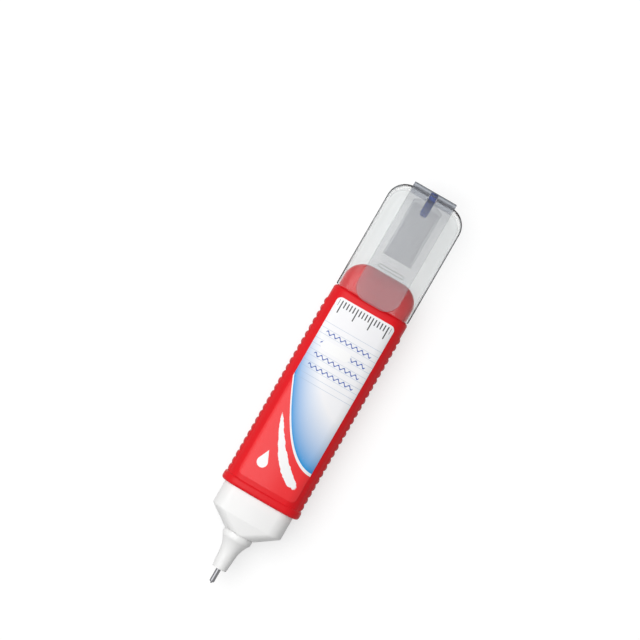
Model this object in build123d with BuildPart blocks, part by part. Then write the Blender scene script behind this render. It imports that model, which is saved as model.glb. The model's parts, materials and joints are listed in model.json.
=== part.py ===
from build123d import *
import os
from math import cos, pi, radians, sin, sqrt, tan

# Correction pen with its cap posted on the rear end, lying on its back. X runs along the pen from the
# writing tip to the cap, Z points up through the label, and the floor is at Z = 0. Millimetres.

# Barrel: a squeeze bottle of rounded-rectangle section with a bead at its mouth
barrel_width = 24.0
barrel_depth = 13.6
side_flat = 3.6
barrel_length = 64.5
barrel_wall = 1.1
shoulder_round = 1.0
bead_length = 2.7
bead_side = 0.65
bead_face = 0.4
bead_round = 0.9
rib_pitch = 2.2
rib_radius = 1.2
rib_height = 0.4
rib_fade = 1.6
smooth_band = 4.4
spigot_length = 9.4
spigot_round = 2.1

# Label film on the front face
label_side = 2.65
label_setback = 2.5
label_bead_gap = 1.3
label_corner = 1.5
label_thickness = 0.15

# Nose: collar with a cone, plugged into the barrel mouth
collar_length = 7.3
cone_angle = 54
cone_share = 0.757
collar_wall = 1.2
collar_round = 1.0
plug_length = 5.0
sleeve_length = 6.0
sleeve_wall = 1.0

# Nozzle, pressed into the collar's sleeve
nozzle_share = 0.884
nozzle_base_length = 1.8
nozzle_flare_length = 5.2
nozzle_neck_diameter = 5.2
nozzle_taper_length = 4.6
nozzle_end_diameter = 4.5
shank_share = 0.813
chamber_share = 0.703

# Writing tip and its valve
tip_diameter = 1.5
tip_bore = 0.95
tip_exposed = 4.5
tip_lip = 0.4
tip_hole = 0.6
tip_round = 0.4
needle_diameter = 0.8
point_diameter = 0.5
point_exposed = 0.4
head_length = 2.4
head_gap = 0.6
flute_share = 0.317
flute_count = 3
boss_length = 1.2
spring_wire = 0.4
spring_length = 3.6
spring_turns = 4
retainer_length = 1.8
retainer_wall = 1.1
ball_diameter = 7.0

# Cap, with the inner cap that takes the nozzle
cap_step = 0.2
cap_wall = 0.6
crown_thickness = 1.2
crown_round = 0.95
rim_round = 0.25
socket_wall = 0.7
socket_inset = 0.65
socket_start = 0.7
socket_lead = 0.9
socket_lip = 0.25
socket_end = 1.0
socket_taper = 1.4
rivet_diameter = 2.3
rivet_reach = 5.2
rivet_round = 0.9

# Pocket clip
clip_width = 13.6
clip_thickness = 1.2
clip_gap = 1.4
clip_overhang = 0.5
clip_end_round = 4.3
clip_edge_round = 0.25
foot_thickness = 1.1
ridge_width = 8.2
ridge_length = 1.0
ridge_height = 0.45
ridge_round = 0.3
ridge_from_rim = 10.6

# Clearances
cap_clearance = 0.05
tip_room = 0.5
plug_clearance = 0.05
press_clearance = 0.02
hinge_clearance = 0.05
seat_clearance = 0.02
head_clearance = 0.075
spring_clearance = 0.3
boss_clearance = 0.3
rim_gap = 0.15
ball_clearance = 0.05

# Cross-section, and the diameters that follow from the piece they seat on or run in
barrel_corner = (barrel_depth - side_flat) / 2
rib_corner = barrel_corner - rib_fade
hollow_setback = cap_step + cap_wall
spigot_setback = hollow_setback + cap_clearance
plug_setback = barrel_wall + plug_clearance
cone_end_diameter = barrel_depth * cone_share
nozzle_base_diameter = cone_end_diameter * nozzle_share
shank_diameter = nozzle_base_diameter * shank_share
chamber_diameter = shank_diameter * chamber_share
head_diameter = chamber_diameter - 2 * head_clearance
flute_diameter = head_diameter * flute_share
spring_diameter = chamber_diameter - 2 * spring_clearance
boss_diameter = spring_diameter - 2 * spring_wire - 2 * boss_clearance
socket_bore = nozzle_base_diameter - 2 * socket_inset
socket_diameter = socket_bore + 2 * socket_wall

# Lengths along the pen, from the point of the needle to the top of the clip
collar_half_width = barrel_width / 2 - spigot_setback
cone_length = (collar_half_width - cone_end_diameter / 2) / tan(radians(cone_angle))
nozzle_length = nozzle_taper_length + nozzle_flare_length + nozzle_base_length
nose_length = point_exposed + tip_exposed + nozzle_length + cone_length + collar_length
cap_length = nose_length + tip_room + rivet_reach + crown_thickness
hinge_rise = foot_thickness / 2
overall_length = nose_length + barrel_length + rim_gap + cap_length + hinge_rise + clip_thickness / 2
point_x = -overall_length / 2
tube_end_x = point_x + point_exposed
nozzle_end_x = tube_end_x + tip_exposed
cone_end_x = nozzle_end_x + nozzle_length
collar_edge_x = cone_end_x + cone_length
mouth_x = collar_edge_x + collar_length
shoulder_x = mouth_x + barrel_length
spigot_end_x = shoulder_x + spigot_length
rim_x = shoulder_x + rim_gap
crown_x = rim_x + cap_length
ceiling_x = crown_x - crown_thickness
socket_x = rim_x + collar_length + cone_length + nozzle_base_length + socket_start
hinge_x = crown_x + hinge_rise

# Heights
axis_height = barrel_depth / 2 + bead_face
cap_front_z = axis_height + barrel_depth / 2 - cap_step
blade_z = cap_front_z + clip_gap
hinge_z = blade_z + clip_thickness / 2

# Planes that the pieces are drawn on
pen_axis = Axis((0, 0, axis_height), (1, 0, 0))
long_plane = Plane((0, 0, axis_height), x_dir=(1, 0, 0), z_dir=(0, -1, 0))


def cross_plane(x):
    """The plane square to the pen at x, with local x along Y and local y along Z."""
    return Plane((x, 0, axis_height), x_dir=(0, 1, 0), z_dir=(1, 0, 0))


def pen_section(setback):
    """The pen's cross-section, drawn in by the same amount all round."""
    return RectangleRounded(barrel_width - 2 * setback, barrel_depth - 2 * setback, barrel_corner - setback)


def round_ended(start_x, end_x, setback, end_round):
    """A length of that section whose end is rounded, in the front view and over its edges."""
    with BuildPart() as form:
        with BuildSketch(Plane.XY.offset(axis_height)):
            with Locations(((start_x + end_x) / 2, 0)):
                outline = Rectangle(end_x - start_x, barrel_width - 2 * setback)
            fillet(outline.vertices().group_by(Axis.X)[-1], barrel_corner + end_round - setback)
        extrude(amount=barrel_depth / 2 - setback, both=True)
        long_edges = form.faces().filter_by(Axis.Z).edges().sort_by(Axis.X)[2:]
        fillet(long_edges, barrel_corner - setback)
    return form.part


# Grip ribs: upright rounds along both narrow sides, trimmed so that they fade into the corners
ribs_start_x = mouth_x + bead_length
ribs_length = barrel_length - bead_length - smooth_band
rib_count = int(ribs_length / rib_pitch)
rib_y = barrel_width / 2 + rib_height - rib_radius
with BuildPart() as grip_ribs:
    with BuildSketch():
        with Locations((ribs_start_x + ribs_length / 2, 0)):
            with GridLocations(rib_pitch, 2 * rib_y, rib_count, 2):
                Circle(rib_radius)
    extrude(amount=2 * axis_height)
    with BuildSketch(cross_plane(mouth_x)):
        RectangleRounded(barrel_width + 2 * rib_height, side_flat + 2 * rib_corner, rib_corner)
    extrude(amount=barrel_length, mode=Mode.INTERSECT)

# Fluid space inside the barrel and its spigot
with BuildPart() as fluid_space:
    bottle_setback = spigot_setback + barrel_wall
    bottle_end_x = spigot_end_x - barrel_wall
    add(round_ended(shoulder_x - 2 * barrel_wall, bottle_end_x, bottle_setback, spigot_round))
    with BuildSketch(cross_plane(mouth_x)):
        pen_section(barrel_wall)
    extrude(amount=barrel_length - barrel_wall)

# Barrel
with BuildPart() as barrel:
    with BuildSketch(cross_plane(mouth_x)):
        bead_width = barrel_width + 2 * bead_side
        RectangleRounded(bead_width, barrel_depth + 2 * bead_face, barrel_corner)
    extrude(amount=bead_length)
    fillet(barrel.faces().filter_by(Axis.X).edges(), bead_round)
    with BuildSketch(cross_plane(mouth_x + bead_length / 2)):
        pen_section(0)
    extrude(amount=barrel_length - bead_length / 2)
    fillet(barrel.faces().sort_by(Axis.X)[-1].edges(), shoulder_round)
    add(grip_ribs.part)
    add(round_ended(shoulder_x - shoulder_round, spigot_end_x, spigot_setback, spigot_round))
    add(fluid_space.part, mode=Mode.SUBTRACT)

# Label: a film wrapped on the front, cut to a rounded outline
label_width = barrel_width - 2 * label_side
label_x = mouth_x + bead_length + label_bead_gap
label_length = shoulder_x - label_setback - label_x
with BuildPart() as front_label:
    with BuildSketch(cross_plane(label_x)):
        pen_section(-label_thickness)
        with BuildSketch(mode=Mode.SUBTRACT):
            pen_section(0)
    extrude(amount=label_length)
    with BuildSketch(Plane.XY.offset(axis_height)):
        with Locations((label_x + label_length / 2, 0)):
            RectangleRounded(label_length, label_width, label_corner)
    extrude(amount=barrel_depth, mode=Mode.INTERSECT)

# Nose collar: the end of the cone is a square rounded almost to a circle, so that it has as many
# edges as the collar it grows out of
bore_radius = shank_diameter / 2 + press_clearance
with BuildPart() as nose_collar:
    with BuildSketch(cross_plane(collar_edge_x)):
        pen_section(spigot_setback)
    with BuildSketch(cross_plane(cone_end_x)):
        RectangleRounded(cone_end_diameter, cone_end_diameter, cone_end_diameter / 2 - press_clearance)
    loft()
    with BuildSketch(cross_plane(collar_edge_x)):
        pen_section(spigot_setback)
    extrude(amount=collar_length)
    soft_edge = nose_collar.edges().filter_by_position(Axis.X, collar_edge_x, collar_edge_x)
    fillet(soft_edge, collar_round)
    with BuildSketch(cross_plane(mouth_x)):
        pen_section(plug_setback)
    extrude(amount=plug_length)
    with BuildSketch(cross_plane(collar_edge_x)):
        pen_section(plug_setback + collar_wall)
    extrude(amount=collar_length + plug_length, mode=Mode.SUBTRACT)
    with BuildSketch(cross_plane(collar_edge_x)):
        pen_section(plug_setback + collar_wall)
    with BuildSketch(cross_plane(cone_end_x + collar_wall)):
        RectangleRounded(shank_diameter, shank_diameter, shank_diameter / 2 - press_clearance)
    loft(mode=Mode.SUBTRACT)
    with BuildSketch(cross_plane(cone_end_x)):
        Circle(bore_radius + sleeve_wall)
    extrude(amount=sleeve_length)
    with BuildSketch(cross_plane(cone_end_x)):
        Circle(bore_radius)
    extrude(amount=sleeve_length, mode=Mode.SUBTRACT)

# Nozzle: turned about the pen's axis, with the valve chamber in its shank
shank_end_x = cone_end_x + sleeve_length
retainer_x = shank_end_x - retainer_length
spring_x = retainer_x - spring_length
head_x = spring_x - head_length
chamber_x = head_x - head_gap
chamber_radius = chamber_diameter / 2
tip_seat_radius = tip_diameter / 2 + press_clearance
with BuildPart() as nozzle:
    with BuildSketch(long_plane):
        with BuildLine():
            taper_start = (nozzle_end_x, nozzle_end_diameter / 2)
            taper_end = (nozzle_end_x + nozzle_taper_length, nozzle_neck_diameter / 2)
            taper = Line(taper_start, taper_end)
            flare_end = (cone_end_x - nozzle_base_length, nozzle_base_diameter / 2)
            flare = TangentArc(taper @ 1, flare_end, tangent=taper % 1)
            Polyline(
                flare @ 1,
                (cone_end_x, nozzle_base_diameter / 2),
                (cone_end_x, shank_diameter / 2),
                (shank_end_x, shank_diameter / 2),
                (shank_end_x, chamber_radius),
                (chamber_x, chamber_radius),
                (chamber_x, tip_seat_radius),
                (nozzle_end_x, tip_seat_radius),
                taper @ 0,
            )
        make_face()
    revolve(axis=pen_axis)

# Writing tip: a steel tube from the valve chamber to a rolled-in end
with BuildPart() as tip_tube:
    with BuildSketch(cross_plane(tube_end_x)):
        Circle(tip_diameter / 2)
    extrude(amount=chamber_x - tube_end_x)
    fillet(tip_tube.faces().sort_by(Axis.X)[0].edges(), tip_round)
    with BuildSketch(cross_plane(tube_end_x)):
        Circle(tip_hole / 2)
    extrude(amount=tip_lip, mode=Mode.SUBTRACT)
    with BuildSketch(cross_plane(tube_end_x + tip_lip)):
        Circle(tip_bore / 2)
    extrude(amount=chamber_x - tube_end_x - tip_lip, mode=Mode.SUBTRACT)

# Needle: its point stands out of the tube, and its shoulder seats behind the tube's lip
needle_seat_x = tube_end_x + tip_lip + seat_clearance
needle_end_x = spring_x + boss_length
with BuildPart() as valve_needle:
    with BuildSketch(cross_plane(needle_seat_x)):
        Circle(needle_diameter / 2)
    extrude(amount=needle_end_x - needle_seat_x)
    with BuildSketch(cross_plane(point_x)):
        Circle(point_diameter / 2)
    extrude(amount=needle_seat_x - point_x)
    fillet(valve_needle.faces().sort_by(Axis.X)[0].edges(), point_diameter / 2 - press_clearance)

# Needle head: fluted so that fluid passes it, with a boss that centres the spring
with BuildPart() as needle_head:
    with BuildSketch(cross_plane(head_x)):
        Circle(head_diameter / 2)
        with PolarLocations(head_diameter / 2, flute_count):
            Circle(flute_diameter / 2, mode=Mode.SUBTRACT)
    extrude(amount=head_length)
    with BuildSketch(cross_plane(spring_x)):
        Circle(boss_diameter / 2)
    extrude(amount=boss_length)
    with BuildSketch(cross_plane(head_x)):
        Circle(needle_diameter / 2 + press_clearance)
    extrude(amount=head_length + boss_length, mode=Mode.SUBTRACT)

# Valve spring: a round wire on a helix with its ends ground flat
spring_radius = (spring_diameter - spring_wire) / 2
spring_pitch = spring_length / spring_turns


def helix_point(turn):
    """A point of the spring's helix, after a number of turns."""
    angle = 2 * pi * turn
    return Vector(
        spring_x + spring_pitch * turn,
        spring_radius * cos(angle),
        axis_height + spring_radius * sin(angle),
    )


def helix_tangent(turn):
    """The direction of the spring's helix, after a number of turns."""
    angle = 2 * pi * turn
    around = 2 * pi * spring_radius
    return Vector(spring_pitch, -around * sin(angle), around * cos(angle)).normalized()


def biarc_joint(start, end, start_way, end_way):
    """Where two arcs that follow both directions meet, and the direction there."""
    chord = end - start
    ways = start_way + end_way
    spread = 2 * (1 - start_way.dot(end_way))
    reach = (sqrt(chord.dot(ways) ** 2 + spread * chord.dot(chord)) - chord.dot(ways)) / spread
    before = start + start_way * reach
    after = end - end_way * reach
    return (before + after) / 2, after - before


quarters = [quarter / 4 for quarter in range(4 * spring_turns + 1)]
with BuildPart() as valve_spring:
    with BuildLine() as spring_path:
        for turn, next_turn in zip(quarters, quarters[1:]):
            start = helix_point(turn)
            end = helix_point(next_turn)
            joint, joint_way = biarc_joint(start, end, helix_tangent(turn), helix_tangent(next_turn))
            TangentArc(start, joint, tangent=helix_tangent(turn))
            TangentArc(joint, end, tangent=joint_way)
    with BuildSketch(Plane(helix_point(0), z_dir=helix_tangent(0))):
        Circle(spring_wire / 2)
    sweep(path=spring_path.wires()[0])
    split(bisect_by=cross_plane(spring_x + seat_clearance), keep=Keep.TOP)
    split(bisect_by=cross_plane(retainer_x - seat_clearance), keep=Keep.BOTTOM)

# Spring retainer, pressed into the rear of the valve chamber
with BuildPart() as spring_retainer:
    with BuildSketch(cross_plane(retainer_x)):
        Circle(chamber_radius - press_clearance)
        Circle(chamber_radius - retainer_wall, mode=Mode.SUBTRACT)
    extrude(amount=retainer_length)

# Mixing ball, on the back wall of the barrel behind the nose
ball_radius = ball_diameter / 2
ball_x = mouth_x + plug_length + ball_radius + ball_clearance
ball_z = axis_height - barrel_depth / 2 + barrel_wall + ball_radius + ball_clearance
with BuildPart() as mixing_ball:
    with Locations((ball_x, 0, ball_z)):
        Sphere(ball_radius)

# Cap shell
rivet_hole_radius = rivet_diameter / 2 + press_clearance
with BuildPart() as cap_shell:
    add(round_ended(rim_x, crown_x, cap_step, crown_round))
    fillet(cap_shell.faces().sort_by(Axis.X)[0].edges(), rim_round)
    add(round_ended(rim_x, ceiling_x, hollow_setback, crown_round), mode=Mode.SUBTRACT)
    with BuildSketch(cross_plane(ceiling_x)):
        Circle(rivet_hole_radius)
    extrude(amount=crown_thickness, mode=Mode.SUBTRACT)

# Inner cap: a tube with a tapered end that seats on the flat of the crown, and a lead-in at its mouth
with BuildPart() as nozzle_socket:
    with BuildSketch(long_plane):
        with BuildLine():
            Polyline(
                (socket_x, socket_diameter / 2 - socket_lip),
                (socket_x, socket_diameter / 2),
                (ceiling_x - socket_taper, socket_diameter / 2),
                (ceiling_x, side_flat / 2),
                (ceiling_x, rivet_hole_radius),
                (ceiling_x - socket_taper - socket_end, rivet_hole_radius),
                (ceiling_x - socket_taper - socket_end, socket_bore / 2),
                (socket_x + socket_lead, socket_bore / 2),
                close=True,
            )
        make_face()
    revolve(axis=pen_axis)

# Rivet through the clip's foot, the crown and the inner cap
with BuildPart() as clip_rivet:
    with BuildSketch(cross_plane(ceiling_x - rivet_reach)):
        Circle(rivet_diameter / 2)
    extrude(amount=rivet_reach + crown_thickness + foot_thickness)
    fillet(clip_rivet.faces().sort_by(Axis.X)[0].edges(), rivet_round)

# Clip foot: a bar on the flat of the crown, hollowed at its front end round the root of the blade
root_room = clip_thickness / 2 + hinge_clearance
foot_back_z = axis_height - side_flat / 2
with BuildPart() as clip_foot:
    with BuildSketch(Plane.XY.offset(foot_back_z)):
        with Locations((hinge_x, 0)):
            Rectangle(foot_thickness, clip_width)
    extrude(amount=hinge_z - foot_back_z)
    with BuildSketch(Plane.XZ.offset(-clip_width / 2)):
        with Locations((hinge_x, hinge_z)):
            Circle(root_room)
            Rectangle(foot_thickness, 2 * root_room, align=(Align.MAX, Align.CENTER))
    extrude(amount=clip_width, mode=Mode.SUBTRACT)
    with BuildSketch(cross_plane(crown_x)):
        Circle(rivet_hole_radius)
    extrude(amount=foot_thickness, mode=Mode.SUBTRACT)

# Clip blade: round at its root, with a grip ridge on its inner side
blade_end_x = rim_x - clip_overhang
with BuildPart() as clip_blade:
    with BuildSketch(Plane.XY.offset(blade_z)):
        with Locations(((blade_end_x + hinge_x) / 2, 0)):
            blade_outline = Rectangle(hinge_x - blade_end_x, clip_width)
        fillet(blade_outline.vertices().group_by(Axis.X)[0], clip_end_round)
    extrude(amount=clip_thickness)
    with BuildSketch(Plane.XZ.offset(-clip_width / 2)):
        with Locations((hinge_x, hinge_z)):
            Circle(clip_thickness / 2)
    extrude(amount=clip_width)
    with BuildSketch(Plane.XY.offset(blade_z)):
        with Locations((rim_x + ridge_from_rim, 0)):
            SlotOverall(ridge_width, ridge_length, rotation=90)
    extrude(amount=-ridge_height)
    fillet(clip_blade.faces().sort_by(Axis.Z)[0].edges(), ridge_round)
    fillet(clip_blade.faces().sort_by(Axis.Z)[-1].edges().sort_by(Axis.X)[:-1], clip_edge_round)

pieces = {
    "barrel": barrel,
    "front_label": front_label,
    "nose_collar": nose_collar,
    "nozzle": nozzle,
    "tip_tube": tip_tube,
    "valve_needle": valve_needle,
    "needle_head": needle_head,
    "valve_spring": valve_spring,
    "spring_retainer": spring_retainer,
    "mixing_ball": mixing_ball,
    "cap_shell": cap_shell,
    "nozzle_socket": nozzle_socket,
    "clip_rivet": clip_rivet,
    "clip_foot": clip_foot,
    "clip_blade": clip_blade,
}
os.makedirs("parts", exist_ok=True)
for name, piece in pieces.items():
    piece.part.label = name
    export_step(piece.part, f"parts/{name}.step")
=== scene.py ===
# %% [markdown]
# # Dressing a correction pen
# A correction pen is a soft plastic bottle with a steel tip that lets out white fluid when its sides are
# pressed. Here it lies on its back with its clear cap posted on the rear end. X runs from the tip to the
# cap, Y across the pen and Z up through the label. The solids come in with every size and place settled, so
# this lesson is about what the eye adds: smooth surfaces, moulded plastic, a printed film, clear plastic,
# steel and light.

# %% Load the solids
import json
from math import cos, radians, sin

import bpy
from mathutils import Matrix, Vector


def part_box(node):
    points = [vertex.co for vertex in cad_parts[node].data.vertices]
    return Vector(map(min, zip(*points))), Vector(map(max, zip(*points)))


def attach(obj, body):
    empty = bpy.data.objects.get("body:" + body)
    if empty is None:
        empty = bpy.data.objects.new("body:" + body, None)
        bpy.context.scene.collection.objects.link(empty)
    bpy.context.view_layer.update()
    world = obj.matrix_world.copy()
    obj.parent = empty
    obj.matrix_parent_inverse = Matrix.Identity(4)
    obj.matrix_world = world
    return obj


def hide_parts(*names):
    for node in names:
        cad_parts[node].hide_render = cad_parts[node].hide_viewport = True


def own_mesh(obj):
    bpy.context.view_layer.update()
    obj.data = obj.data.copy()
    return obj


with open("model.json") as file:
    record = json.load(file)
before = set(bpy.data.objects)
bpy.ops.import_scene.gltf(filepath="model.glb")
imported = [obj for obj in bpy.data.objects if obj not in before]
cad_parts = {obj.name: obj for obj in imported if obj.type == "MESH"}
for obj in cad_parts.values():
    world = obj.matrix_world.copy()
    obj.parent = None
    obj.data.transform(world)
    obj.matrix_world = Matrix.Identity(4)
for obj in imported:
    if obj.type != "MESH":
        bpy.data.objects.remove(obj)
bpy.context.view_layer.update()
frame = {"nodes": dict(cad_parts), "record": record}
scene = bpy.context.scene
scene.view_settings.view_transform = "Standard"
MM = 0.001

# %% [markdown]
# ## Camera
# The photograph looks straight down on the label from about 0.8 m, a little from the cap's side, with the
# pen turned to 60 degrees. The camera could be turned by three angles, but those are hard to read back.
# Instead the three directions of the picture are written out as vectors, and they become the columns of the
# camera's matrix. A long lens keeps the sides of the pen parallel.

# %% Directions of the picture
view_lean = radians(1.35)
pen_turn = radians(60)
along_pen = Vector((cos(view_lean), 0, -sin(view_lean)))
across_pen = Vector((0, 1, 0))
towards_camera = Vector((sin(view_lean), 0, cos(view_lean)))
picture_right = along_pen * cos(pen_turn) - across_pen * sin(pen_turn)
picture_up = along_pen * sin(pen_turn) + across_pen * cos(pen_turn)
picture_axes = Matrix((picture_right, picture_up, towards_camera)).transposed().to_4x4()
print("picture's right:", [round(part, 3) for part in picture_right])

# %% Camera
frame_width = 183.7 * MM
lens = 155
sensor = 36
aim_up = 19.75 * MM
aim_left = 0.8 * MM
cap_low, cap_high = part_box("cap_shell")
axis_z = (cap_low.z + cap_high.z) / 2
aim = Vector((0, 0, axis_z)) + picture_up * aim_up - picture_right * aim_left
camera_data = bpy.data.cameras.new("camera")
camera_data.lens = lens
camera_data.sensor_width = sensor
camera_data.clip_start = 10 * MM
camera = bpy.data.objects.new("camera", camera_data)
scene.collection.objects.link(camera)
camera_place = aim + towards_camera * frame_width * lens / sensor
camera.matrix_world = Matrix.Translation(camera_place) @ picture_axes
scene.camera = camera
print("camera at", [round(part, 4) for part in camera_place])

# %% [markdown]
# ## Arithmetic in a node tree
# A finish is worked out from the place of each point on the piece. In the node editor that takes a Math
# node for every step, and soon there is a web that is hard to follow. A small class lets plain Python sums
# build the same nodes: `a * 2 + b` becomes two of them.

# %% Sums that become nodes
class Field:
    """A number that varies over a surface. Sums of fields add Math nodes to the tree."""

    def __init__(self, tree, socket):
        self.tree = tree
        self.socket = socket

    def math(self, operation, *others, clamp=False):
        node = self.tree.nodes.new("ShaderNodeMath")
        node.operation = operation
        node.use_clamp = clamp
        for socket, value in zip(node.inputs, (self, *others)):
            if isinstance(value, Field):
                self.tree.links.new(value.socket, socket)
            else:
                socket.default_value = value
        return Field(self.tree, node.outputs[0])

    def __add__(self, other):
        return self.math("ADD", other)

    def __sub__(self, other):
        return self.math("SUBTRACT", other)

    def __mul__(self, other):
        return self.math("MULTIPLY", other)

    def __abs__(self):
        return self.math("ABSOLUTE")

    def most(self, other):
        """The larger of two fields."""
        return self.math("MAXIMUM", other)

    def over(self, edge, soft):
        """1 where the field is above the edge and 0 below it, over a soft step."""
        return ((self - edge) * (1 / soft)).math("ADD", 0.5, clamp=True)

    def under(self, edge, soft):
        """1 where the field is below the edge and 0 above it, over a soft step."""
        return (self * -1.0).over(-edge, soft)

    def between(self, low, high, soft):
        """1 from the low edge to the high one and 0 elsewhere."""
        return self.over(low, soft) * self.under(high, soft)

    def repeat(self, pitch):
        """Distance to the nearest of a row of lines."""
        return abs((self * (1 / pitch)).math("FRACT") - 0.5) * pitch


print("sums ready")

# %% [markdown]
# ## A finish
# Every surface of the pen is one Principled shader with a colour, a gloss and some unevenness. The class
# keeps what later cells reach for: the node tree, the shader, and the place of each point on the piece.
# Places are Object coordinates, because those stay with a piece when it moves. What is the same all over a
# surface is set on the shader itself, and what varies is steered by a field.

# %% Finish
class Finish:
    """A material with a Principled shader, and the nodes that steer it."""

    def __init__(self, name, colour, roughness, **settings):
        self.material = bpy.data.materials.new(name)
        self.material.use_nodes = True
        self.tree = self.material.node_tree
        self.shader = self.tree.nodes["Principled BSDF"]
        self.output = self.tree.nodes["Material Output"]
        self.roughness = roughness
        self.shader.inputs["Base Color"].default_value = (*colour, 1)
        self.shader.inputs["Roughness"].default_value = roughness
        for socket, value in settings.items():
            self.shader.inputs[socket.replace("_", " ")].default_value = value
        coordinates = self.tree.nodes.new("ShaderNodeTexCoord")
        self.place = coordinates.outputs["Object"]
        self.facing = coordinates.outputs["Normal"]

    def parts(self, vector):
        """The three parts of a vector, as fields."""
        split = self.tree.nodes.new("ShaderNodeSeparateXYZ")
        self.tree.links.new(vector, split.inputs[0])
        return [Field(self.tree, socket) for socket in split.outputs]

    def xyz(self):
        """The place on the piece along X, Y and Z, in millimetres."""
        return [part * (1 / MM) for part in self.parts(self.place)]

    def steer(self, name, source):
        """Lets a field or a colour set one of the shader's values."""
        self.tree.links.new(source.socket if isinstance(source, Field) else source, self.shader.inputs[name])


print("finish ready")

# %% [markdown]
# ## Cloudiness, colours and fine relief
# No moulded surface is quite even: its colour is a little cloudy, its gloss differs from place to place,
# and its skin has a fine grain. Pictures could be laid over the pieces for that, but a noise texture needs
# no file and shows no seams, so one noise helper feeds the colour, the gloss and the grain.

# %% Noise and mixed colours
def noise(finish, per_metre, stretch=(1, 1, 1)):
    """A cloudy field between 0 and 1, with that many lumps in a metre."""
    mapping = finish.tree.nodes.new("ShaderNodeMapping")
    mapping.inputs["Scale"].default_value = stretch
    node = finish.tree.nodes.new("ShaderNodeTexNoise")
    node.inputs["Scale"].default_value = per_metre
    finish.tree.links.new(finish.place, mapping.inputs[0])
    finish.tree.links.new(mapping.outputs[0], node.inputs["Vector"])
    return Field(finish.tree, node.outputs["Fac"])


def mix(finish, field, first, second):
    """A colour that goes from first to second as the field goes from 0 to 1."""
    node = finish.tree.nodes.new("ShaderNodeMix")
    node.data_type = "RGBA"
    finish.tree.links.new(field.socket, node.inputs["Factor"])
    for socket, colour in ((node.inputs["A"], first), (node.inputs["B"], second)):
        if isinstance(colour, tuple):
            socket.default_value = (*colour, 1)
        else:
            finish.tree.links.new(colour, socket)
    return node.outputs["Result"]


print("noise and colours ready")

# %% [markdown]
# ## Gloss and grain
# Moulded plastic and drawn metal both catch the light unevenly. The gloss wanders around its mean, and a
# bump node tilts the shading as a grain of a few hundredths of a millimetre would. Points that fine would
# be far too many to model, so what is too low to show in the outline is done this way, and nothing else.

# %% Gloss and grain
def uneven_gloss(finish, per_metre, spread, stretch=(1, 1, 1)):
    """Lets the roughness wander by the spread around its mean."""
    wander = noise(finish, per_metre, stretch) * (2 * spread)
    finish.steer("Roughness", wander + (finish.roughness - spread))


def grain(finish, height):
    """Shades the surface as if it were raised by that many millimetres."""
    node = finish.tree.nodes.new("ShaderNodeBump")
    node.inputs["Distance"].default_value = MM
    finish.tree.links.new(height.socket, node.inputs["Height"])
    finish.tree.links.new(node.outputs[0], finish.shader.inputs["Normal"])


print("gloss and grain ready")

# %% [markdown]
# ## The crowned front
# The broad front of the pen is not quite flat: it is highest along the middle and falls by half a
# millimetre towards each side, which is why the light fades across it. Shading alone could feign that, but
# the outline would stay flat. The solid's face has no points inside it, so the copy is first cut into
# strips along the pen. Then every point sinks with the square of its distance from the middle, the more the
# higher it stands, and the back stays flat.

# %% Crown the front
fall_rate = 1250.0
strip_width = 1.0 * MM
strips_each_side = 12


def crown_front(piece):
    """Cuts a piece into strips along the pen and lowers its front towards the sides."""
    bpy.ops.object.mode_set(mode="EDIT")
    for strip in range(-strips_each_side, strips_each_side + 1):
        bpy.ops.mesh.select_all(action="SELECT")
        bpy.ops.mesh.bisect(plane_co=(0, strip * strip_width, 0), plane_no=(0, 1, 0))
    bpy.ops.object.mode_set(mode="OBJECT")
    for point in piece.data.vertices:
        height = max(point.co.z - axis_z, 0)
        point.co.z -= height * fall_rate * point.co.y ** 2


label_low, label_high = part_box("front_label")
edge_fall = (label_high.z - axis_z) * fall_rate * label_high.y ** 2
print("front falls by", round(edge_fall / MM, 2), "mm at the label's edge")

# %% [markdown]
# ## Smooth copies of the solids
# The solids arrive as loose triangles, so light breaks at every one of them. Modelling each piece again
# would risk its fit, so a copy is merged into one skin and shaded smooth across all but the sharp edges.
# Weighted normals keep the broad faces flat beside their rounded edges. The copy rides on the same moving
# body and stands for the solid.

# %% Copy and smooth
merge_distance = 0.002 * MM
crease = radians(35)


def dress(node, name, body, finish, crowned=False):
    """A smooth copy of a solid, with its finish, riding on its body."""
    bpy.ops.object.select_all(action="DESELECT")
    piece = bpy.data.objects.new(name, frame["nodes"][node].data.copy())
    scene.collection.objects.link(piece)
    piece.select_set(True)
    bpy.context.view_layer.objects.active = piece
    bpy.ops.object.mode_set(mode="EDIT")
    bpy.ops.mesh.select_all(action="SELECT")
    bpy.ops.mesh.remove_doubles(threshold=merge_distance)
    bpy.ops.object.mode_set(mode="OBJECT")
    if crowned:
        crown_front(piece)
    bpy.ops.object.shade_smooth_by_angle(angle=crease)
    bpy.ops.object.modifier_add(type="WEIGHTED_NORMAL")
    piece.modifiers[-1].keep_sharp = True
    bpy.ops.object.modifier_apply(modifier=piece.modifiers[-1].name)
    piece.data.materials.clear()
    piece.data.materials.append(finish.material)
    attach(piece, body)
    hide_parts(node)
    print(name, len(piece.data.vertices), "points")
    return piece


# %% [markdown]
# ## Red barrel
# The bottle is blown from coloured plastic that is soft enough to press. It has a satin skin with a faint
# cloudiness, and a thin line along each side where the two halves of the mould met. That line is far too
# low to model, so it is drawn as relief, at the height of the pen's axis.

# %% Red plastic
parting_half = 0.09
parting_soft = 0.08
parting_height = 0.06
skin_height = 0.015
red = Finish("red satin plastic", (0.76, 0.009, 0.015), 0.38, Specular_IOR_Level=0.18)
red.steer("Base Color", mix(red, noise(red, 60), (0.72, 0.008, 0.013), (0.80, 0.010, 0.017)))
uneven_gloss(red, 900, 0.07)
parting = abs(red.xyz()[2] - axis_z / MM).under(parting_half, parting_soft)
grain(red, noise(red, 2500) * skin_height + parting * parting_height)
dress("barrel", "barrel_bottle", "pen", red, crowned=True)

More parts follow.
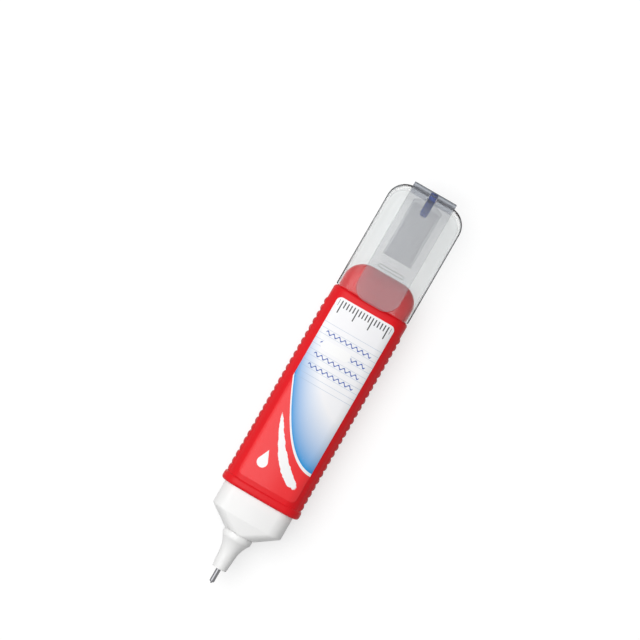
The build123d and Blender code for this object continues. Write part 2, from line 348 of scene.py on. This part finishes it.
# %% [markdown]
# ## White nose
# The collar and the nozzle are two white mouldings of one plastic. Light scatters a little in the skin of
# white plastic, which softens it. Under this wide lamp a satin gloss looks the same and renders faster, so
# the two share a plain satin finish.

# %% White plastic
white = Finish("white satin plastic", (0.87, 0.87, 0.865), 0.36)
white.steer("Base Color", mix(white, noise(white, 80), (0.85, 0.85, 0.845), (0.885, 0.885, 0.88)))
uneven_gloss(white, 1100, 0.08)
grain(white, noise(white, 3000) * 0.012)
dress("nose_collar", "nose_cone", "pen", white, crowned=True)
dress("nozzle", "nozzle_body", "pen", white)

# %% [markdown]
# ## Steel tip
# The writing tube is drawn steel, polished along its length, so its scratches run along X. The shader could
# be made anisotropic for that, but a noise that is stretched along X breaks up the highlight as real
# scratches do. In a white room steel mirrors white all round, so its own colour is dark.

# %% Steel
steel = Finish("drawn steel", (0.19, 0.19, 0.2), 0.2, Metallic=1.0)
uneven_gloss(steel, 9000, 0.08, stretch=(0.05, 1, 1))
grain(steel, noise(steel, 12000, stretch=(0.04, 1, 1)) * 0.01)
dress("tip_tube", "writing_tube", "pen", steel)
dress("valve_needle", "writing_needle", "needle", steel)
dress("mixing_ball", "shaker_ball", "ball", steel)

# %% [markdown]
# ## Needle spring
# When the needle is pressed in, its head comes nearer to the retainer and the spring between them gets
# shorter. A spring that rode on only one of the two would be cut by the other. Here it rides on the pen;
# its shortest length is worked out and printed, but its mesh is not squashed.

# %% Spring
spring = dress("valve_spring", "needle_spring", "pen", steel)
spring_low, spring_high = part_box("valve_spring")
spring_length = spring_high.x - spring_low.x
joints = frame["record"]["behaviour"]["joints"]
press = next(joint for joint in joints if joint["name"] == "needle_press")
shortest = spring_length - press["range_m"][1]
shortest / spring_length
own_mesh(spring)
print("spring goes from", round(spring_length / MM, 2), "to", round(shortest / MM, 2), "mm")

# %% [markdown]
# ## Valve plastic
# The needle's head and the spring's retainer sit out of sight inside the nozzle. They are moulded in
# natural plastic, without a dye. They could be left bare, but the valve may be taken apart in another
# picture, so they get a plain finish too.

# %% Valve plastic
natural = Finish("natural plastic", (0.8, 0.8, 0.78), 0.45)
uneven_gloss(natural, 1500, 0.1)
grain(natural, noise(natural, 4000) * 0.02)
dress("needle_head", "fluted_head", "needle", natural)
dress("spring_retainer", "retainer_ring", "pen", natural)

# %% [markdown]
# ## Printed label
# A thin film on the front carries a plain print, which is laid down in layers as on a press: a blue wash, a
# ruled page with a pen line, a dab of white fluid over the line, a ruler, and a red field with a brush
# stroke and a drop. A picture could be wrapped on the film, but it would blur close up. Here every shape is
# a sum of two lengths in millimetres: up from the tip's end of the film, and sideways from the middle of
# the pen.

# %% Film and blue wash
paper_white = (0.9, 0.9, 0.92)
fluid_white = (0.93, 0.93, 0.93)
wash_blue = (0.02, 0.29, 0.68)
wash_length = 16.0
wash_power = 0.8
sweep_start = 9.0
sweep_curve = 0.065
sweep_rim = 1.2
film = Finish("printed film", paper_white, 0.25, Specular_IOR_Level=0.25)
x, side, _ = film.xyz()
up = x - label_low.x / MM
length = (label_high.x - label_low.x) / MM
half = (label_high.y - label_low.y) / MM / 2
sweep = (side + half).math("POWER", 2.0) * sweep_curve + sweep_start
wash = ((up - sweep - sweep_rim) * (1 / wash_length)).math("ADD", 0.0, clamp=True)
colour = mix(film, wash.math("POWER", wash_power), wash_blue, paper_white)
print("label", round(length, 2), "by", round(2 * half, 2), "mm")

# %% [markdown]
# ## Ruled page and pen line
# Thin rules cross the label, and on every second row a wavy pen line stands for writing. The lines could be
# drawn one by one, but a distance that repeats gives a whole row of them from one sum, and they stay sharp
# however near the camera comes.

# %% Ruled page and pen line
crisp = 0.1
line_soft = 0.06
row = 1.75
rule_half = 0.07
rule_weight = 0.6
page_low, page_high = 31.0, 51.0
ink_low, ink_high = 34.0, 49.0
ink_half = 0.2
ink_margin = 2.0
wave_rate = 3.4
wave_height = 0.42
rules = up.repeat(row).under(rule_half, line_soft) * up.between(page_low, page_high, crisp)
colour = mix(film, rules * rule_weight, colour, (0.35, 0.45, 0.6))
wave = (side * wave_rate).math("SINE") * wave_height
ink_area = up.between(ink_low, ink_high, crisp) * abs(side).under(half - ink_margin, crisp)
ink = (up + wave).repeat(2 * row).under(ink_half, crisp) * ink_area
colour = mix(film, ink, colour, (0.021, 0.09, 0.4))
print("page", page_high - page_low, "mm high, with a line every", row, "mm")

# %% [markdown]
# ## Dab of fluid
# A white dab covers part of a pen line, which is what such a pen is for. Its outline is every point at one
# distance from a short straight line, and so it has round ends. Fluid dries a little proud of the paper, so
# the dab is in the relief of the film too.

# %% Dab of fluid
dab_up, dab_side = 43.7, 2.2
dab_reach = 3.2
dab_half = 1.5
past_reach = (abs(side - dab_side) - dab_reach).most(0.0)
dab_gap = ((up - dab_up).math("POWER", 2.0) + past_reach.math("POWER", 2.0)).math("SQRT")
dab = dab_gap.under(dab_half, crisp)
colour = mix(film, dab, colour, fluid_white)
print("dab", 2 * (dab_reach + dab_half), "mm wide")

# %% [markdown]
# ## Ruler
# A ruler in millimetres runs across the top of the label. Its ticks are a repeated distance like the rules,
# but taken sideways, and a second one with five times the pitch picks out the ticks that are longer.

# %% Ruler
tick_pitch = 1.0
tick_half = 0.17
tick_margin = 0.9
tick_top = length - 0.7
short_tick_end = length - 2.6
long_tick_extra = 2.0
long_ticks = side.repeat(5 * tick_pitch).under(0.4 * tick_pitch, 0.02)
tick_end = long_ticks * -long_tick_extra + short_tick_end
ruler_area = up.under(tick_top, crisp) * abs(side).under(half - tick_margin, crisp)
ticks = side.repeat(tick_pitch).under(tick_half, line_soft) * (up - tick_end).over(0.0, crisp)
colour = mix(film, ticks * ruler_area, colour, (0.02, 0.02, 0.025))
print("ruler", round(2 * (half - tick_margin), 1), "mm wide")

# %% [markdown]
# ## Red field with a brush stroke
# The red of the bottle runs on into the print, up to a curved edge with a white rim. A stroke of white
# fluid lies across it. A clean oval would look stamped, so noise shifts its edge, and it ends as ragged as
# bristles would leave it.

# %% Red field with a brush stroke
field_soft = 0.12
rim_width = 0.9
bristle = 1.4
stroke_depth, stroke_half = 5.6, 2.1
stroke_side, stroke_reach = -0.4, 7.0
below = sweep - up
colour = mix(film, below.over(-rim_width, field_soft), colour, paper_white)
colour = mix(film, below.over(0.0, field_soft), colour, (0.86, 0.03, 0.035))
ragged = below + noise(film, 700) * bristle
across_stroke = ((ragged - stroke_depth) * (1 / stroke_half)).math("POWER", 2.0)
along_stroke = ((side - stroke_side) * (1 / stroke_reach)).math("POWER", 2.0)
colour = mix(film, (across_stroke + along_stroke).under(1.0, field_soft), colour, fluid_white)
print("stroke", 2 * stroke_reach, "mm across the label")

# %% [markdown]
# ## Drop, and the film itself
# The drop is a circle and a peak that tapers, joined by taking the larger of the two. With it the print is
# complete, and the film gets its own gloss, smoother than the plastic round it, with a trace of the
# waviness that is left when a label is rolled on.

# %% Drop, and the film itself
drop_up, drop_side = 6.0, 4.6
drop_half = 1.6
peak_taper = 0.45
peak_half = 1.09
peak_start = 0.4
rise = (up - drop_up) * (1 / drop_half)
away = abs(side - drop_side) * (1 / drop_half)
bulb = (rise * rise + away * away).under(1.0, field_soft)
peak = (away + rise * peak_taper).under(peak_half, crisp) * rise.over(peak_start, crisp)
colour = mix(film, bulb.most(peak), colour, fluid_white)
film.steer("Base Color", colour)
uneven_gloss(film, 700, 0.05)
grain(film, noise(film, 1800) * 0.006 + dab * 0.012)
dress("front_label", "label_film", "pen", film, crowned=True)

# %% [markdown]
# ## Clear cap
# The cap is moulded in clear polystyrene and polished. A shader that bends all light is the true way to
# make it, but then lamps can't reach what is inside, which goes dark. So light on its way to a lamp, and
# light that a matt surface gathers, passes straight through, and all other light bends as in real plastic.
# Each such way through is a pane: a clear shader that is mixed in front of the one before it.

# %% Panes in clear plastic
def edge_of(finish, slope, soft):
    """1 where the surface turns away from the eye, and 0 where it faces it."""
    slant = finish.tree.nodes.new("ShaderNodeLayerWeight")
    return Field(finish.tree, slant.outputs["Facing"]).over(slope, soft)


def pane(finish, weight, tint):
    """Lets light straight through, with a tint, where the weight is 1."""
    straight = finish.tree.nodes.new("ShaderNodeBsdfTransparent")
    straight.inputs["Color"].default_value = (*tint, 1)
    choose = finish.tree.nodes.new("ShaderNodeMixShader")
    surface = finish.output.inputs["Surface"]
    finish.tree.links.new(weight.socket, choose.inputs["Fac"])
    finish.tree.links.new(surface.links[0].from_socket, choose.inputs[1])
    finish.tree.links.new(straight.outputs[0], choose.inputs[2])
    finish.tree.links.new(choose.outputs[0], surface)


def rays(tree, *kinds):
    """1 for light of these kinds, and 0 for all other light."""
    path = tree.nodes.new("ShaderNodeLightPath")
    chosen = Field(tree, path.outputs[kinds[0]])
    for kind in kinds[1:]:
        chosen = chosen.most(Field(tree, path.outputs[kind]))
    return chosen


print("panes ready")

# %% [markdown]
# ## Outline and crown of the cap
# Two more panes help the eye. A grey one where the outer skin turns away paints the dark outline that clear
# mouldings show where they bend light away: painted shade. A clear one around the rivet keeps it in sight
# through the crown: the rivet fills its hole there, so no light bends between the two.

# %% Clear plastic
clear_tint = (0.93, 0.94, 0.94)
painted_outline_tint = (0.53, 0.54, 0.55)
crown_depth = 2.2
hole_margin = 0.15
clear = Finish("clear plastic", (0.91, 0.92, 0.92), 0.03, Transmission_Weight=0.97, IOR=1.4)
clear.shader.inputs["Specular Tint"].default_value = (0.35, 0.35, 0.35, 1)
uneven_gloss(clear, 500, 0.015)
grain(clear, noise(clear, 90) * 0.03)
x, y, z = clear.xyz()
facing_x, facing_y, facing_z = clear.parts(clear.facing)
cap_middle = (cap_low.x + cap_high.x) / MM / 2
outward = facing_x * (x - cap_middle) + facing_y * y + facing_z * (z - axis_z / MM)
# painted shade: a grey pane darkens the outer skin where it turns from the eye, as a dark outline
pane(clear, edge_of(clear, slope=0.62, soft=0.3) * outward.over(0.0, 0.1), painted_outline_tint)
crown_end = cap_high.x / MM
rivet_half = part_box("clip_rivet")[1].y / MM
rivet_hole = abs(y).under(rivet_half + hole_margin, 0.1) * x.over(crown_end - crown_depth, 0.1)
pane(clear, rivet_hole, clear_tint)
pane(clear, rays(clear.tree, "Is Shadow Ray", "Is Diffuse Ray"), clear_tint)
dress("cap_shell", "clear_cap", "cap", clear)

# %% [markdown]
# ## Clip
# The clip is of the same plastic, a little hazy, and its haze is darker near the crown. A flat strip hardly
# bends light, so it gets a simpler finish than the cap: part of the light goes straight through it and part
# is scattered by its skin.
# The flat at its root is seen edge on, through many millimetres of plastic, and the crown's edge shows
# through beside it. The two dark lines that this makes across the root are painted shade, in the strip's
# colour and cover. The sides of the grip ridge under the strip get the same painted dark lines.

# %% Clip blade
strip_thickness = 1.2
ridge_soft = 0.04
skin_cover = 0.2
edge_cover = 0.45
painted_line_cover = 0.3
crown_haze_length = 4.5
strip_haze = (0.43, 0.44, 0.47)
crown_haze = (0.17, 0.185, 0.23)
hazy = Finish("hazy clear plastic", (0.36, 0.37, 0.39), 0.2, Specular_IOR_Level=0.3)
x, _, z = hazy.xyz()
blade_low, blade_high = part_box("clip_blade")
ridge_low = blade_low.z / MM + ridge_soft
ridge_high = blade_high.z / MM - strip_thickness - 0.03
# painted shade: masks for dark lines along the ridge's sides, the root's flat and the crown's edge
painted_ridge_shade = z.between(ridge_low, ridge_high, ridge_soft)
painted_root_flat_line = x.over(blade_high.x / MM - 0.35, 0.2)
painted_root_lines = painted_root_flat_line.most(abs(x - crown_end).under(0.2, 0.2))
haze = mix(hazy, x.over(crown_end - crown_haze_length, 2 * crown_haze_length), strip_haze, crown_haze)
# painted shade: those lines get a near-black colour and, below, more cover
hazy.steer("Base Color", mix(hazy, painted_root_lines.most(painted_ridge_shade), haze, (0.08, 0.09, 0.11)))
faces = edge_of(hazy, slope=0.55, soft=0.6) * edge_cover + skin_cover
hazy.steer("Alpha", faces + (painted_root_lines + painted_ridge_shade) * painted_line_cover)
uneven_gloss(hazy, 600, 0.08)
grain(hazy, noise(hazy, 120) * 0.03)
dress("clip_blade", "clip_spring_blade", "clip", hazy)

# %% [markdown]
# ## Clip foot
# The bar that carries the clip is a small block of clear plastic, and the eye looks through its whole
# depth. So it is painted darker than the thin blade, and darkest at its edges: painted shade for the light
# that the block bends away. Bent light would only look speckled in so small a block, so a pane that thins
# out towards the edges is used instead.

# %% Clip foot
# painted shade: a near-black colour, darkest at the edges, stands for light that the block bends away
painted_dark_clear = Finish("thick clear plastic", (0.06, 0.065, 0.08), 0.15, Specular_IOR_Level=0.3)
uneven_gloss(painted_dark_clear, 600, 0.05)
grain(painted_dark_clear, noise(painted_dark_clear, 150) * 0.03)
pane(painted_dark_clear, edge_of(painted_dark_clear, slope=0.7, soft=0.4) * -0.3 + 0.92, (0.8, 0.82, 0.85))
dress("clip_foot", "clip_bar", "cap", painted_dark_clear)

# %% [markdown]
# ## Inner cap
# The tube that seals the nozzle is tinted plastic. It is thin enough to look through, and more so where it
# faces the eye than along its edges. It could bend light as the cap does, but a clear piece inside another
# renders slowly, so its skin is only made thin to the eye.

# %% Tinted plastic
tinted = Finish("tinted plastic", (0.2, 0.27, 0.41), 0.4)
tinted.steer("Alpha", edge_of(tinted, slope=0.7, soft=0.4) * 0.12 + 0.075)
uneven_gloss(tinted, 900, 0.1)
dress("nozzle_socket", "inner_cap", "cap", tinted)

# %% [markdown]
# ## Rivet
# A blue rivet holds the inner cap and the clip to the crown. In the shade of the tube a solid colour would
# turn grey, so its plastic lets some light through, as thin coloured mouldings do, and it stays blue.

# %% Blue plastic
rivet_blue = (0.01, 0.13, 0.86)
blue = Finish("blue plastic", rivet_blue, 0.255, Specular_IOR_Level=0.12, Transmission_Weight=0.4)
blue.steer("Base Color", mix(blue, noise(blue, 500), (0.009, 0.12, 0.82), (0.011, 0.14, 0.9)))
uneven_gloss(blue, 1500, 0.075)
dress("clip_rivet", "blue_rivet", "cap", blue)

# %% [markdown]
# ## Floor
# The pen lies on white paper. Paper that is lit to full white would need so much light that the pen
# bleaches, so the floor is a grey sheet that glows just enough to look white to the camera, to mirrors and
# to clear plastic. It still takes the pen's shadow.

# %% Floor
floor_grey = (0.36, 0.36, 0.36)
floor_glow = 0.67
seen_rays = ("Is Camera Ray", "Is Glossy Ray", "Is Transmission Ray")
bpy.ops.object.select_all(action="DESELECT")
bpy.ops.mesh.primitive_plane_add(size=4)
floor = bpy.context.object
floor.name = "floor"
paper = Finish("floor paper", floor_grey, 0.9)
paper.shader.inputs["Emission Color"].default_value = (1, 1, 1, 1)
paper.steer("Emission Strength", rays(paper.tree, *seen_rays) * floor_glow)
floor.data.materials.append(paper.material)
print("floor", [round(part, 2) for part in floor.dimensions], "m")

# %% [markdown]
# ## Room
# The room is brighter overhead and on the left of the picture. A picture of a studio could light the scene,
# but two directions are enough here, so the room's strength is a sum of them. Where the camera, a mirror or
# clear plastic looks past the floor, the room is white.

# %% Room
overhead_strength = 0.33
left_strength = 0.12
dimmest = 0.035
world = bpy.data.worlds.new("room")
world.use_nodes = True
room = world.node_tree
directions = room.nodes.new("ShaderNodeTexCoord")
split = room.nodes.new("ShaderNodeSeparateXYZ")
room.links.new(directions.outputs["Generated"], split.inputs[0])
overhead = Field(room, split.outputs["Z"]).most(0.0)
left = (Field(room, split.outputs["Y"]) * 0.5).math("ADD", 0.5, clamp=True)
strength = overhead * overhead_strength + left * left_strength + dimmest
sky = room.nodes["Background"]
sky.inputs["Color"].default_value = (1, 1, 1, 1)
room.links.new(strength.most(rays(room, *seen_rays)).socket, sky.inputs["Strength"])
scene.world = world
print("room:", overhead_strength, "overhead,", left_strength, "left,", dimmest, "all round")

# %% [markdown]
# ## Lamp
# A studio's softbox is a box of light behind cloth. A small lamp would draw hard shadows, so an area lamp
# of about a metre stands for it. It hangs nearly overhead, which lights the whole front, and far enough to
# the upper left of the picture to leave the right side of the pen darker.

# %% Lamp
lamp_width = 1.05
lamp_place = Vector((0.08, 0.40, 0.96))
lamp_data = bpy.data.lights.new("softbox", "AREA")
lamp_data.shape = "RECTANGLE"
lamp_data.size = lamp_width
lamp_data.size_y = lamp_width
lamp_data.energy = 10.2
lamp = bpy.data.objects.new("softbox", lamp_data)
scene.collection.objects.link(lamp)
lamp.location = lamp_place
lamp.rotation_euler = (-lamp_place).to_track_quat("-Z", "Y").to_euler()
print("lamp", round(lamp_data.energy, 1), "W")
